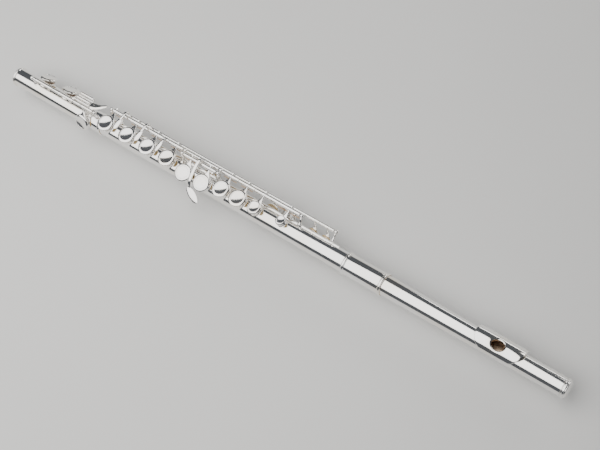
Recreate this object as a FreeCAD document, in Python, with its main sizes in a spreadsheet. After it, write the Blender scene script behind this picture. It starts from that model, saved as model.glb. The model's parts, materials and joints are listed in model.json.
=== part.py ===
"""Concert flute: closed-hole Boehm system with offset G and C foot.

Frame: the origin is on the bore's axis at the foot joint's open end. +X runs along the bore to the
crown, +Z is the way the main key cups face, and +Y is the player's side, where the rods are.
An "angle" of a hole or a rod is measured round the tube from +Z towards +Y.
"""
import FreeCAD, Part
import math
import os
import re
import Sketcher
from FreeCAD import Placement, Rotation, Vector

DIMENSIONS = {
    # tubes
    "bore_r": 9.5,
    "tube_r": 9.9,
    "socket_bore_r": 9.95,
    "socket_r": 10.5,
    "ring_r": 11.4,
    "foot_length": 115.5,
    "socket_end": 128.5,
    "tenon_start": 116.3,
    "body_end": 440.0,
    "barrel_start": 436.0,
    "barrel_end": 480.5,
    "head_start": 441.0,
    "head_end": 664.0,
    "head_bore_r": 8.45,
    "head_r": 8.9,
    "taper_start": 482.0,
    "taper_end": 590.0,
    # head joint fittings
    "mouth_x": 600.0,
    "mouth_angle": 8.0,
    "mouth_length": 12.2,
    "mouth_width": 10.3,
    "riser_wall": 1.0,
    "plate_r": 12.6,
    "plate_thick": 0.9,
    "plate_length": 48.5,
    "stopper_x": 617.3,
    "stopper_r": 8.4,
    "stopper_rod_r": 1.6,
    "disc_thick": 1.2,
    "cork_length": 15.0,
    "crown_r": 9.5,
    "crown_end": 670.0,
    # tone holes: places along the bore
    "x_foot_c": 39.6,
    "x_foot_cs": 72.3,
    "x_eb": 106.9,
    "x_d": 136.7,
    "x_e": 166.2,
    "x_f": 194.0,
    "x_fs": 220.3,
    "x_g_low": 245.1,
    "x_g_high": 268.6,
    "x_gs": 262.0,
    "x_a": 290.7,
    "x_bb": 311.5,
    "x_c": 332.0,
    "x_vent": 362.7,
    "x_thumb": 338.0,
    "x_d_trill": 389.0,
    "x_ds_trill": 404.0,
    # cups, pads and chimneys
    "large_cup": 9.2,
    "medium_cup": 7.2,
    "small_cup": 5.3,
    "trill_cup": 5.6,
    "thumb_cup": 8.4,
    "cup_wall": 0.45,
    "cup_tall": 2.5,
    "cup_dish": 0.5,
    "pad_proud": 0.4,
    "pad_thick": 1.8,
    "rim_top": 11.7,
    "rim_inset": 1.7,
    "rim_bead": 0.35,
    "chimney_wall": 0.4,
    "key_lift": 7.2,
    # rods
    "rod_r": 20.36,
    "trill_rod_r": 21.4,
    "main_angle": 53.2,
    "g_angle": 35.2,
    "trill_angle": 65.0,
    "thumb_angle": 86.8,
    "foot_angle": 7.5,
    "steel_r": 1.0,
    "hinge_bore": 1.05,
    "hinge_r": 1.9,
    "trill_tube_r": 1.6,
    "ball_r": 2.2,
    "post_r": 1.15,
    "post_base_r": 2.5,
    "arm_neck": 1.7,
    "arm_half": 0.9,
    "touch_thick": 1.0,
    "strap_thick": 1.6,
    "roller_r": 1.5,
    "spring_r": 0.3,
    "rib_thick": 0.9,
    "rib_start": 129.6,
    "rib_end": 424.0,
    "screw_head": 0.8,
    "screw_slot": 0.4,
}

# angle, round the tube, that each row of cups faces
SEAT = {"main": 0.0, "vent": 8.0, "g": -18.0, "g_sharp": 106.4, "trill": 118.2, "thumb": 140.0,
        "foot": 60.7, "eb": -54.0}

# where each key's hinge tubes start and end along its rod
SPANS = {
    "d_key": [("134.3", "150.3")],
    "e_key": [("150.6", "178.0")],
    "f_key": [("178.3", "203.0")],
    "side_lever": [("203.3", "210.5")],
    "f_sharp_key": [("210.8", "229.6")],
    "g_key": [("236.2", "277.2")],
    "g_sharp_key": [("234.8", "275.4")],
    "a_key": [("280.6", "301.5")],
    "b_flat_key": [("301.8", "321.5")],
    "c_key": [("321.8", "375.3")],
    "d_sharp_trill_key": [("148.6", "176.6"), ("395.4", "412.3")],
    "d_trill_key": [("176.9", "395.1")],
    "thumb_b_key": [("329.0", "352.6")],
    "thumb_b_flat_lever": [("352.9", "363.0")],
    "e_flat_key": [("103.3", "119.5")],
    "c_sharp_key": [("62.3", "92.4")],
    "c_foot_key": [("34.0", "62.0"), ("92.7", "103.0")],
}

doc = FreeCAD.newDocument("concert_flute")
sheet = doc.addObject("Spreadsheet::Sheet", "dims")
for row, (alias, size) in enumerate(DIMENSIONS.items(), start=1):
    sheet.set(f"A{row}", alias)
    sheet.set(f"B{row}", str(size))
    sheet.setAlias(f"B{row}", alias)
doc.recompute()

D = DIMENSIONS
SUB_PARTS = []


# ---------------------------------------------------------------- helpers
def cell(text):
    """An expression in the sheet's aliases, written for an object outside the sheet."""
    return re.sub(r"[a-z]\w*", lambda word: "dims." + word.group(), str(text))


def add(kind, name, **sizes):
    """A document object whose sizes are bound to the sheet."""
    made = doc.addObject(kind, name)
    for prop, text in sizes.items():
        made.setExpression(prop, cell(text))
    return made


def place(made, x=0, y=0.0, z=0.0, turn=None):
    """Puts an object at (x, y, z); x may be an expression in the sheet's aliases."""
    made.Placement = Placement(Vector(0, y, z), turn or Rotation())
    made.setExpression("Placement.Base.x", cell(x))
    return made


ALONG_X = Rotation(Vector(0, 1, 0), 90)


def polar(radius, angle):
    """The (y, z) of a point at a radius and an angle round the tube."""
    return radius * math.sin(math.radians(angle)), radius * math.cos(math.radians(angle))


def rod(name, start, end, radius, centre):
    """A cylinder along X from start to end, about the line through centre (y, z)."""
    made = add("Part::Cylinder", name, Radius=radius, Height=f"({end}) - ({start})")
    return place(made, start, centre[0], centre[1], ALONG_X)


def fuse(name, pieces):
    made = doc.addObject("Part::MultiFuse", name)
    made.Shapes = pieces
    return made


def cut(name, base, tool):
    made = doc.addObject("Part::Cut", name)
    made.Base = base
    made.Tool = tool
    return made


def common(name, base, tool):
    made = doc.addObject("Part::Common", name)
    made.Base = base
    made.Tool = tool
    return made


def group(name, pieces):
    """Separate solids that share one node."""
    made = doc.addObject("Part::Compound", name)
    made.Links = pieces
    return made


def sub_part(made, label):
    made.Label = label
    SUB_PARTS.append(made)
    return made


def outline(sketch, points):
    """A closed outline of straight lines, each corner bound to the sheet."""
    spots = [Vector(*(float(sheet.evalExpression(str(part))) for part in point), 0) for point in points]
    count = len(spots)
    for i in range(count):
        sketch.addGeometry(Part.LineSegment(spots[i], spots[(i + 1) % count]), False)
    for i in range(count):
        join_sketch(sketch, "Coincident", i, 2, (i + 1) % count, 1)
    for i, (across, up) in enumerate(points):
        for way, text, size in (("DistanceX", across, spots[i].x), ("DistanceY", up, spots[i].y)):
            number = join_sketch(sketch, way, -1, 1, i, 1, size)
            sketch.setExpression(f"Constraints[{number}]", cell(text))


def join_sketch(sketch, *rule):
    return sketch.addConstraint(Sketcher.Constraint(*rule))


def turned(name, points, about="X"):
    """A body of revolution. Points are (place along the axis, radius)."""
    body = doc.addObject("PartDesign::Body", name)
    plane = next(item for item in body.Origin.OriginFeatures if item.Role == "XZ_Plane")
    sketch = body.newObject("Sketcher::SketchObject", name + "_profile")
    sketch.AttachmentSupport = (plane, [""])
    sketch.MapMode = "FlatFace"
    outline(sketch, points if about == "X" else [(radius, along) for along, radius in points])
    spin = body.newObject("PartDesign::Revolution", name + "_turn")
    spin.Profile = sketch
    spin.ReferenceAxis = (sketch, ["H_Axis" if about == "X" else "V_Axis"])
    spin.Angle = 360
    return body


FLAT = Rotation()
ACROSS = Rotation(Vector(0, 1, 0), Vector(0, 0, 1), Vector(1, 0, 0), "ZXY")


def slab(name, points, thick, turn=FLAT, both_ways=True):
    """An outline given a thickness: FLAT outlines are (x, y), ACROSS outlines are (y, z)."""
    sketch = doc.addObject("Sketcher::SketchObject", name + "_outline")
    sketch.Placement = Placement(Vector(), turn)
    outline(sketch, points)
    made = add("Part::Extrusion", name, LengthFwd=thick)
    made.Base = sketch
    made.DirMode = "Normal"
    made.Symmetric = both_ways
    made.Solid = True
    return made


def bar(name, start, end, thick, x, width):
    """A flat bar between two (y, z) points, centred on x."""
    run = math.hypot(end[0] - start[0], end[1] - start[1])
    tilt = math.degrees(math.atan2(end[1] - start[1], end[0] - start[0]))
    box = add("Part::Box", name, Length=width, Height=thick)
    box.Width = run + D["strap_thick"] * 0.6
    turn = Rotation(Vector(1, 0, 0), tilt)
    corner = turn.multVec(Vector(0, -D["strap_thick"] * 0.3, -float(sheet.evalExpression(str(thick))) / 2))
    return place(box, f"({x}) - ({width}) / 2", start[0] + corner.y, start[1] + corner.z, turn)


def strap(name, path, x, width, thick="strap_thick"):
    """Flat bars end to end through the (y, z) points of a path."""
    return [bar(f"{name}_{i}", path[i], path[i + 1], thick, x, width) for i in range(len(path) - 1)]


# ---------------------------------------------------------------- keys
RODS = {
    "main": polar(D["rod_r"], D["main_angle"]),
    "g": polar(D["rod_r"], D["g_angle"]),
    "trill": polar(D["trill_rod_r"], D["trill_angle"]),
    "thumb": polar(D["rod_r"], D["thumb_angle"]),
    "foot": polar(D["rod_r"], D["foot_angle"]),
}


def seat(x, angle, centre, lift, side):
    """Where a cup built over the bore's axis goes, swung open by lift about its rod."""
    turn = Rotation(Vector(1, 0, 0), -angle)
    swing = Rotation(Vector(1, 0, 0), -side * lift)
    arm = Vector(0, centre[0], centre[1])
    base = arm - swing.multVec(arm)
    return lambda made: place_turned(made, x, base, swing * turn)


def place_turned(made, x, base, turn):
    return place(made, x, base.y, base.z, turn)


def cup(name, cup_r, put):
    """A key cup: a shallow turned dish, open underneath for its pad."""
    low = "rim_top + pad_proud"
    plate = "rim_top + pad_thick"
    top = "rim_top + pad_proud + cup_tall"
    made = turned(name, [
        (plate, 0), (plate, f"{cup_r} - cup_wall"), (low, f"{cup_r} - cup_wall"), (low, cup_r),
        (f"{top} - 0.7", cup_r), (f"{top} - 0.2", f"{cup_r} - 0.25"), (top, f"{cup_r} - 0.8"),
        (top, f"{cup_r} * 0.70"), (f"{top} - cup_dish * 0.6", f"{cup_r} * 0.58"),
        (f"{top} - cup_dish", f"{cup_r} * 0.3"), (f"{top} - cup_dish", 0)], about="Z")
    return put(made)


def key_arm(name, cup_r, rod_y, rod_z, side, put):
    """The forked arm from the hinge tube to the cup: a plan outline within a side outline."""
    near = f"{cup_r} * 0.8"
    edge = f"{cup_r} + 0.4"
    neck = f"{cup_r} + ({rod_y:.4f} - {cup_r}) * 0.4"
    plan = [(f"-{cup_r} * 0.56", near), (f"{cup_r} * 0.56", near), (f"{cup_r} * 0.33", edge),
            ("arm_neck", neck), ("arm_neck", f"{rod_y:.4f}"), ("-arm_neck", f"{rod_y:.4f}"),
            ("-arm_neck", neck), (f"-{cup_r} * 0.33", edge)]
    low = "rim_top + pad_thick + 0.05"
    high = "rim_top + pad_thick + 0.95"
    profile = [(near, low), (cup_r, low), (f"{rod_y:.4f}", f"{rod_z:.4f} - arm_half"),
               (f"{rod_y:.4f}", f"{rod_z:.4f} + arm_half"), (cup_r, high), (near, high)]
    if side < 0:
        plan = [(x, f"-({y})") for x, y in plan]
        profile = [(f"-({y})", z) for y, z in profile]
    return put(common(name, slab(name + "_plan", plan, 60), slab(name + "_side", profile, 30, ACROSS)))


def cup_and_arm(name, cup_r, x, angle, line, lift=0.0):
    """A cup, its arm and its pad; the rod's own place settles which side the arm is on."""
    cup_r = f"({cup_r})"
    centre = RODS[line]
    radius = math.hypot(*centre)
    offset = math.degrees(math.atan2(*centre)) - angle
    side = 1 if offset > 0 else -1
    put = seat(x, angle, centre, lift, side)
    metal = [cup(name + "_cup", cup_r, put),
             key_arm(name + "_arm", cup_r, radius * abs(math.sin(math.radians(offset))),
                     radius * math.cos(math.radians(offset)), side, put)]
    pad = add("Part::Cylinder", name + "_felt", Radius=f"{cup_r} - cup_wall - 0.05", Height="pad_thick")
    turned_pad = doc.addObject("Part::Compound", name + "_pad_piece")
    pad.setExpression("Placement.Base.z", cell("rim_top"))
    turned_pad.Links = [pad]
    return metal, put(turned_pad)


def hinge(name, line, start, end):
    radius = "trill_tube_r" if line == "trill" else "hinge_r"
    return rod(name + "_hinge", start, end, radius, RODS[line])


def key(name, line, cups, extra=(), pin=None):
    """A whole key: cups with arms, hinge tubes over its spans, and any touches, on one rod."""
    spans = SPANS[name]
    metal = [hinge(f"{name}_{i}", line, *span) for i, span in enumerate(spans)]
    pads = []
    for i, choice in enumerate(cups):
        made, pad = cup_and_arm(f"{name}_{i}", *choice)
        metal += made
        pads.append(pad)
    metal += list(extra)
    joined = fuse(name + "_metal", metal)
    bore = rod(name + "_bore", spans[0][0] + " - 1", spans[-1][1] + " + 1", "hinge_bore", RODS[line])
    if pin:
        bore = fuse(name + "_bores", [bore, rod(name + "_pin_hole", "91", "113", "0.4", pin)])
    sub_part(cut(name, joined, bore), name)
    if pads:
        sub_part(group(name + "_pad", pads) if len(pads) > 1 else pads[0], name.replace("_key", "") + "_pad")


# A touch is a flat outline laid at a height, held by a strap from the hinge tube.
def touch(name, points, y, z, tilt=0.0):
    made = slab(name, points, "touch_thick")
    made.Placement = Placement(Vector(0, y, z), Rotation(Vector(1, 0, 0), tilt))
    return made


def open_keys():
    """The keys of the main rod that stand open and are closed by a finger."""
    lift = D["key_lift"]
    key("d_key", "main", [("large_cup", "x_d", SEAT["main"], "main", lift)])
    key("e_key", "main", [("large_cup", "x_e", SEAT["main"], "main", lift)])
    key("f_key", "main", [("large_cup", "x_f", SEAT["main"], "main", lift)])
    key("f_sharp_key", "main", [("large_cup", "x_fs", SEAT["main"], "main", lift)])
    key("g_key", "g",
        [("large_cup", "x_g_low", SEAT["g"], "g", lift), ("large_cup", "x_g_high", SEAT["g"], "g", lift)])
    key("a_key", "main", [("large_cup", "x_a", SEAT["main"], "main", lift)])
    key("b_flat_key", "main", [("large_cup", "x_bb", SEAT["main"], "main", lift)])
    key("c_key", "main",
        [("medium_cup", "x_c", SEAT["main"], "main", lift),
         ("small_cup", "x_vent", SEAT["vent"], "main", lift)])


def g_sharp_key():
    """The closed G sharp key: its touch reaches between the two G cups to the far side."""
    y0, z0 = RODS["main"]
    path = [(y0, z0), (14.6, 19.9), (9.5, 21.0), (-1.0, 18.6), (-9.0, 14.6), (-13.6, 9.6)]
    lever = strap("g_sharp_lever", path, "256.85", 2.6)
    leaf = touch("g_sharp_touch", [("255.5", "1.5"), ("258.0", "2.4"), ("263.5", "0.8"), ("270.0", "-3.6"),
                                   ("272.5", "-7.6"), ("270.8", "-9.8"), ("266.0", "-9.6"), ("259.5", "-6.2"),
                                   ("255.6", "-2.0")], -15.0, 8.6, 25.0)
    key("g_sharp_key", "main", [("large_cup - 0.9", "x_gs", SEAT["g_sharp"], "main")],
        extra=lever + [leaf])


def trill_keys():
    """Two closed keys on one line: the D key's tube turns on the D sharp key's long shaft."""
    y0, z0 = RODS["trill"]
    over = [(y0, z0), (21.6, 12.6), (19.2, 16.4), (13.0, 17.6), (9.0, 17.9)]

    def leaf(name, x):
        points = [(f"{x} - 1.6", "5.0"), (f"{x} + 1.6", "5.0"), (f"{x} + 3.0", "0.0"), (f"{x} + 2.0", "-5.0"),
                  (x, "-7.0"), (f"{x} - 2.0", "-5.0"), (f"{x} - 3.0", "0.0")]
        return touch(name, points, 5.6, 18.0, -2.0)

    key("d_sharp_trill_key", "trill",
        [("trill_cup", "x_ds_trill", SEAT["trill"], "trill")],
        extra=strap("ds_arm", over, "151.4", 2.6) + [leaf("ds_touch", "151.4")])
    sub_part(rod("d_sharp_trill_shaft", "146.0", "414.6", "steel_r", RODS["trill"]), "d_sharp_trill_shaft")
    key("d_trill_key", "trill",
        [("trill_cup", "x_d_trill", SEAT["trill"], "trill")],
        extra=strap("dt_arm", over, "180.2", 2.6) + [leaf("dt_touch", "180.2")])


def side_lever():
    """The B flat side lever: a touch between the F and F sharp cups, on a shaft to the B flat key."""
    y0, z0 = RODS["main"]
    path = [(y0, z0), (14.6, 16.4), (9.0, 17.6)]
    leaf = touch("side_touch", [("205.4", "5.0"), ("208.4", "5.0"), ("209.2", "0.0"), ("207.6", "-5.0"),
                                ("205.6", "-5.0"), ("204.6", "0.0")], 5.6, 17.7, -2.0)
    key("side_lever", "main", [], extra=strap("side_arm", path, "206.9", 2.6) + [leaf])
    sub_part(rod("side_lever_shaft", "203.3", "321.5", "steel_r", RODS["main"]), "side_lever_shaft")


def thumb_keys():
    """The B key under the left thumb, and the B flat lever beside it."""
    y0, z0 = RODS["thumb"]
    path = [(y0, z0), (19.6, -3.4), (17.6, -9.0), (14.6, -13.4)]
    leaf = touch("thumb_touch", [("345.8", "-7.0"), ("352.0", "-7.0"), ("353.0", "0.0"), ("352.0", "7.0"),
                                 ("345.8", "7.0")], 11.6, -16.4, 31.0)
    key("thumb_b_key", "thumb",
        [("thumb_cup", "x_thumb", SEAT["thumb"], "thumb", D["key_lift"])],
        extra=strap("thumb_arm", path, "349.4", 4.0) + [leaf])
    leaf = touch("thumb_flat_touch", [("354.0", "-7.0"), ("361.0", "-6.0"), ("362.6", "0.0"),
                                      ("361.0", "6.0"), ("354.0", "7.0")], 11.6, -16.4, 31.0)
    key("thumb_b_flat_lever", "thumb", [],
        extra=strap("thumb_flat_arm", path, "357.8", 4.0) + [leaf])


ROLLERS = {"c_sharp_roller": (8.9, 20.9), "c_roller": (14.6, 18.4)}
ROLLER_ENDS = ("92.1", "111.6")


def foot_keys():
    """The E flat, C sharp and C keys, with the little finger's touches and rollers."""
    y0, z0 = RODS["foot"]
    lift = D["key_lift"]
    large = "large_cup"
    flat_arm = strap("eb_touch_arm", [(y0, z0), (5.4, 20.9), (8.6, 20.6)], "117.0", 5.0)
    leaf = touch("eb_touch", [("113.0", "-4.5"), ("119.5", "-4.8"), ("124.5", "-1.6"), ("129.6", "3.4"),
                              ("130.8", "6.0"), ("128.4", "6.2"), ("122.0", "3.0"), ("113.2", "0.8")],
                 9.6, 20.5, -4.0)
    key("e_flat_key", "foot", [(large, "x_eb", SEAT["eb"], "foot")],
        extra=flat_arm + [leaf])
    arm = strap("cs_touch_arm", [(y0, z0), (5.0, 21.0), (7.4, 20.9)], "90.2", 3.4)
    ears = [bar(f"cs_ear_{i}", (6.2, 20.9), (9.4, 20.9), 2.0, x, 1.0) for i, x in enumerate(ROLLER_ENDS)]
    rail = bar("cs_rail", (5.5, 20.9), (6.1, 20.9), 1.4, "101.4", 20.4)
    link = bar("cs_link", (5.0, 20.9), (8.4, 20.9), 1.4, "91.0", 3.0)
    key("c_sharp_key", "foot", [(large, "x_foot_cs", SEAT["foot"], "foot", lift)],
        extra=arm + ears + [rail, link], pin=ROLLERS["c_sharp_roller"])
    under = [(y0, z0), (4.2, 17.1), (11.4, 16.4)]
    arm = strap("c_touch_arm", under, "97.8", 4.0)
    ears = [bar(f"c_ear_{i}", (12.4, 18.4), (15.0, 18.4), 2.0, x, 1.0) for i, x in enumerate(ROLLER_ENDS)]
    rail = bar("c_rail", (11.6, 17.2), (12.2, 17.2), 1.4, "101.9", 20.4)
    risers = [bar(f"c_riser_{i}", (11.8, 17.0), (12.6, 18.6), 1.2, x, 1.0) for i, x in enumerate(ROLLER_ENDS)]
    key("c_foot_key", "foot",
        [(large, "x_foot_c", SEAT["foot"], "foot", lift)],
        extra=arm + ears + [rail] + risers, pin=ROLLERS["c_roller"])
    sub_part(rod("c_foot_shaft", "29.6", "123.8", "steel_r", RODS["foot"]), "c_foot_shaft")
    for name, centre in ROLLERS.items():
        drum = rod(name + "_drum", "92.8", "110.9", "roller_r", centre)
        hole = rod(name + "_hole", "92", "112", "0.45", centre)
        sub_part(cut(name, drum, hole), name)
        sub_part(rod(name + "_pin", "91.6", "112.1", "0.4", centre), name + "_pin")


# ---------------------------------------------------------------- tubes
def chimneys(name, holes):
    """Outside and inside of the drawn tone holes, each (cup radius, place, angle)."""
    outside, inside = [], []
    for i, (size, x, angle) in enumerate(holes):
        cup_r = f"({size})"
        put = seat(x, angle, (0.0, 0.0), 0.0, 1)
        wall = add("Part::Cylinder", f"{name}_wall_{i}", Radius=f"{cup_r} - rim_inset + 0.2",
                   Height="rim_top - rim_bead")
        bead = add("Part::Torus", f"{name}_bead_{i}", Radius1=f"{cup_r} - rim_inset", Radius2="rim_bead")
        bead.setExpression("Placement.Base.z", cell("rim_top - rim_bead"))
        hole = add("Part::Cylinder", f"{name}_hole_{i}", Radius=f"{cup_r} - rim_inset + 0.2 - chimney_wall",
                   Height="rim_top + 5")
        outer = group(f"{name}_out_{i}", [fuse(f"{name}_collar_{i}", [wall, bead])])
        outside.append(put(outer))
        inside.append(put(group(f"{name}_in_{i}", [hole])))
    return outside, inside


def body_tube():
    large = [("large_cup", x, SEAT["main"]) for x in ("x_d", "x_e", "x_f", "x_fs", "x_a", "x_bb")]
    large += [("large_cup", "x_g_low", SEAT["g"]), ("large_cup", "x_g_high", SEAT["g"])]
    holes = large + [("large_cup - 0.9", "x_gs", SEAT["g_sharp"]), ("medium_cup", "x_c", SEAT["main"]),
                     ("small_cup", "x_vent", SEAT["vent"]), ("thumb_cup", "x_thumb", SEAT["thumb"]),
                     ("trill_cup", "x_d_trill", SEAT["trill"]), ("trill_cup", "x_ds_trill", SEAT["trill"])]
    outside, inside = chimneys("body_chimney", holes)
    wall = rod("body_wall", "tenon_start", "body_end", "tube_r", (0, 0))
    bore = rod("body_bore", "tenon_start - 1", "body_end + 1", "bore_r", (0, 0))
    made = cut("body_tube", fuse("body_outside", [wall] + outside), fuse("body_inside", [bore] + inside))
    sub_part(made, "body_tube")
    return outside


def foot_tube():
    holes = [("large_cup", "x_foot_c", SEAT["foot"]), ("large_cup", "x_foot_cs", SEAT["foot"]),
             ("large_cup", "x_eb", SEAT["eb"])]
    outside, inside = chimneys("foot_chimney", holes)
    wall = turned("foot_wall", [("0", 0), ("0", "tube_r"), ("foot_length - 1", "tube_r"),
                                ("foot_length", "socket_r"), ("socket_end", "socket_r"), ("socket_end", 0)])
    bore = rod("foot_bore", "-1", "foot_length + 1", "bore_r", (0, 0))
    socket = rod("foot_socket", "foot_length", "socket_end + 1", "socket_bore_r", (0, 0))
    solid = fuse("foot_outside", [wall] + outside)
    sub_part(cut("foot_tube", solid, fuse("foot_inside", [bore, socket] + inside)), "foot_tube")


def ring(name, start, width, inner, bulge):
    """A rounded band round a tube."""
    end = f"{start} + {width}"
    return turned(name, [(start, inner), (start, f"{bulge} - 0.5"), (f"{start} + 0.6", bulge),
                         (f"{end} - 0.6", bulge), (end, f"{bulge} - 0.5"), (end, inner)])


def barrel():
    sub_part(turned("barrel", [("barrel_start", "tube_r"), ("barrel_start", "socket_r"),
                               ("barrel_end", "socket_r"), ("barrel_end", "socket_bore_r"),
                               ("body_end", "socket_bore_r"), ("body_end", "tube_r")]), "barrel")
    lower = ring("barrel_lower_ring", "barrel_start", "3.6", "socket_r", "ring_r")
    upper = ring("barrel_upper_ring", "barrel_end - 3.6", "3.6", "socket_r", "ring_r")
    sub_part(group("barrel_rings", [lower, upper]), "barrel_rings")
    end = ring("foot_end_ring", "0", "3.0", "tube_r", "socket_r + 0.3")
    mouth = ring("foot_socket_ring", "socket_end - 3.4", "3.4", "socket_r", "ring_r - 0.1")
    sub_part(group("foot_rings", [end, mouth]), "foot_rings")


def ellipse_column(name, long_r, wide_r, low, tall):
    """An upright oval column over the embouchure's centre."""
    oval = add("Part::Ellipse", name + "_oval", MajorRadius=long_r, MinorRadius=wide_r)
    oval.setExpression("Placement.Base.z", cell(low))
    made = add("Part::Extrusion", name, LengthFwd=tall)
    made.Base = oval
    made.DirMode = "Normal"
    made.Solid = True
    return made


def at_mouth(made):
    """Puts a column at the embouchure and turns it to the mouth's angle."""
    holder = group(made.Name + "_set", [made])
    return place(holder, "mouth_x", 0, 0, Rotation(Vector(1, 0, 0), -D["mouth_angle"]))


def head_joint():
    outer = [("head_start", 0), ("head_start", "tube_r"), ("taper_start", "tube_r"), ("taper_end", "head_r"),
             ("head_end", "head_r"), ("head_end", 0)]
    inner = [("head_start - 1", 0), ("head_start - 1", "bore_r"), ("taper_start", "bore_r"),
             ("taper_end", "head_bore_r"), ("head_end + 1", "head_bore_r"), ("head_end + 1", 0)]
    hole = at_mouth(ellipse_column("mouth_hole", "mouth_length / 2", "mouth_width / 2", "0", "20"))
    shell = cut("head_shell", turned("head_outside", outer), turned("head_inside", inner))
    sub_part(cut("headjoint_tube", shell, hole), "headjoint_tube")

    wall = at_mouth(ellipse_column("riser_outside", "mouth_length / 2 + riser_wall",
                                   "mouth_width / 2 + riser_wall", "6", "8"))
    gap = at_mouth(ellipse_column("riser_gap", "mouth_length / 2", "mouth_width / 2", "0", "20"))
    tube = rod("riser_tube", "580", "620", "head_r", (0, 0))
    above = cut("riser_above", rod("riser_sky", "580", "620", "20", (0, 0)),
                rod("riser_under_plate", "579", "621", "plate_r - plate_thick", (0, 0)))
    sub_part(cut("embouchure_riser", cut("riser_hollow", cut("riser_footed", wall, tube), gap), above),
             "embouchure_riser")

    band = cut("plate_band", rod("plate_out", "mouth_x - plate_length / 2", "mouth_x + plate_length / 2",
                                 "plate_r", (0, 0)),
               rod("plate_in", "560", "640", "plate_r - plate_thick", (0, 0)))
    half = "plate_length / 2"
    side = [(1.5, 11.6), (0.3, 10.2), (0, 4), (1.8, -1.7), (3.2, -4.8), (5.6, -7.8), (8.6, -10.0),
            (13.0, -11.4)]
    plan = [(f"{half} - {inset}", y) for inset, y in side]
    plan += [(f"{inset} - {half}", y) for inset, y in reversed(side)]
    area = slab("plate_area", plan, 20, FLAT, False)
    area.setExpression("Placement.Base.z", cell("1"))
    area = at_mouth(group("plate_area_set", [area]))
    opening = at_mouth(ellipse_column("plate_hole", "mouth_length / 2", "mouth_width / 2", "0", "20"))
    sub_part(cut("lip_plate", common("plate_trim", band, area), opening), "lip_plate")


def stopper_and_crown():
    """The cork between two discs on a threaded rod, and the crown that draws it along."""
    cork_start, cork_end = "stopper_x + disc_thick", "stopper_x + disc_thick + cork_length"
    sub_part(turned("stopper_cork", [(cork_start, "stopper_rod_r"), (cork_start, "stopper_r"),
                                     (cork_end, "stopper_r"), (cork_end, "stopper_rod_r")]), "stopper_cork")
    face = rod("stopper_face", "stopper_x", cork_start, "stopper_r - 0.05", (0, 0))
    shank = rod("stopper_shank", cork_start, "head_end - 2", "stopper_rod_r", (0, 0))
    sub_part(fuse("stopper_rod", [face, shank]), "stopper_rod")
    washer_end = cork_end + " + disc_thick"
    sub_part(turned("stopper_washer", [(cork_end, "stopper_rod_r"), (cork_end, "stopper_r - 0.4"),
                                       (washer_end, "stopper_r - 0.4"), (washer_end, "stopper_rod_r")]),
             "stopper_washer")
    low = "head_end + 0.2"
    plug = [("head_end - 6", "stopper_rod_r + 0.05"), ("head_end - 6", "head_bore_r - 0.05"),
            (low, "head_bore_r - 0.05")]
    bead = [(low, "crown_r - 0.3"), (f"{low} + 0.7", "crown_r - 0.3"), (f"{low} + 1.0", "crown_r - 0.7")]
    rim = [(f"{low} + 1.5", "crown_r - 0.7"), (f"{low} + 1.9", "crown_r"), (f"{low} + 3.3", "crown_r"),
           (f"{low} + 3.6", "crown_r - 0.6")]
    dome = [("crown_end - 1.0", "crown_r - 2.4"), ("crown_end - 0.2", "crown_r - 5.0"), ("crown_end", 0)]
    thread = [("crown_end - 4.8", 0), ("crown_end - 4.8", "stopper_rod_r + 0.05")]
    sub_part(turned("crown", plug + bead + rim + dome + thread), "crown")


# ---------------------------------------------------------------- rods and posts
def post(name, x, line, foot_angle, hole="steel_r", stands_on="tube_r"):
    """A turned post: a saddle on the tube, a stem, and a ball bored for the rod."""
    base_y, base_z = polar(float(sheet.evalExpression(stands_on)) - 0.3, foot_angle)
    top = RODS[line]
    run = Vector(0, top[0] - base_y, top[1] - base_z)
    turn = Rotation(Vector(0, 0, 1), run)
    stem = add("Part::Cylinder", name + "_stem", Radius="post_r")
    stem.Height = run.Length
    saddle = add("Part::Cone", name + "_saddle", Radius1="post_base_r", Radius2="post_r", Height="2.2")
    globe = add("Part::Sphere", name + "_ball", Radius="ball_r")
    place(stem, x, base_y, base_z, turn)
    place(saddle, x, base_y, base_z, turn)
    place(globe, x, *top)
    bore = rod(name + "_bore", f"{x} - 4", f"{x} + 4", hole, top)
    inside = rod(name + "_clear", f"{x} - 4", f"{x} + 4", stands_on, (0, 0))
    return cut(name, fuse(name + "_whole", [stem, saddle, globe]), fuse(name + "_voids", [bore, inside]))


def body_posts():
    """Posts of the body: (place, rod line, angle it stands at, hole, what it stands on)."""
    fixed, turning, strap_top = "steel_r", "hinge_bore", "tube_r + rib_thick"
    rows = [("131.8", "main", 60, fixed, strap_top), ("232.2", "main", 60, turning, strap_top),
            ("278.0", "main", 60, turning, strap_top), ("377.8", "main", 60, fixed, strap_top),
            ("233.6", "g", 40, fixed, "tube_r"), ("279.8", "g", 40, fixed, "tube_r"),
            ("146.2", "trill", 66, turning, strap_top), ("414.8", "trill", 66, turning, strap_top),
            ("326.6", "thumb", 90, fixed, "tube_r"), ("365.4", "thumb", 90, fixed, "tube_r")]
    sub_part(group("body_posts", [post(f"body_post_{i}", *row) for i, row in enumerate(rows)]), "body_posts")


def foot_posts():
    rows = [("31.4", "foot", 7.5, "hinge_bore", "tube_r"), ("122.0", "foot", 7.5, "hinge_bore", "socket_r")]
    sub_part(group("foot_posts", [post(f"foot_post_{i}", *row) for i, row in enumerate(rows)]), "foot_posts")


def steels():
    """The fixed steel rods that the hinge tubes turn on."""
    rows = [("right_hand_steel", "main", "130.2", "202.9"), ("left_hand_steel", "main", "322.0", "379.4"),
            ("g_steel", "g", "232.0", "281.4"), ("thumb_steel", "thumb", "325.0", "367.0")]
    for name, line, start, end in rows:
        sub_part(rod(name, start, end, "steel_r", RODS[line]), name)


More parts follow.
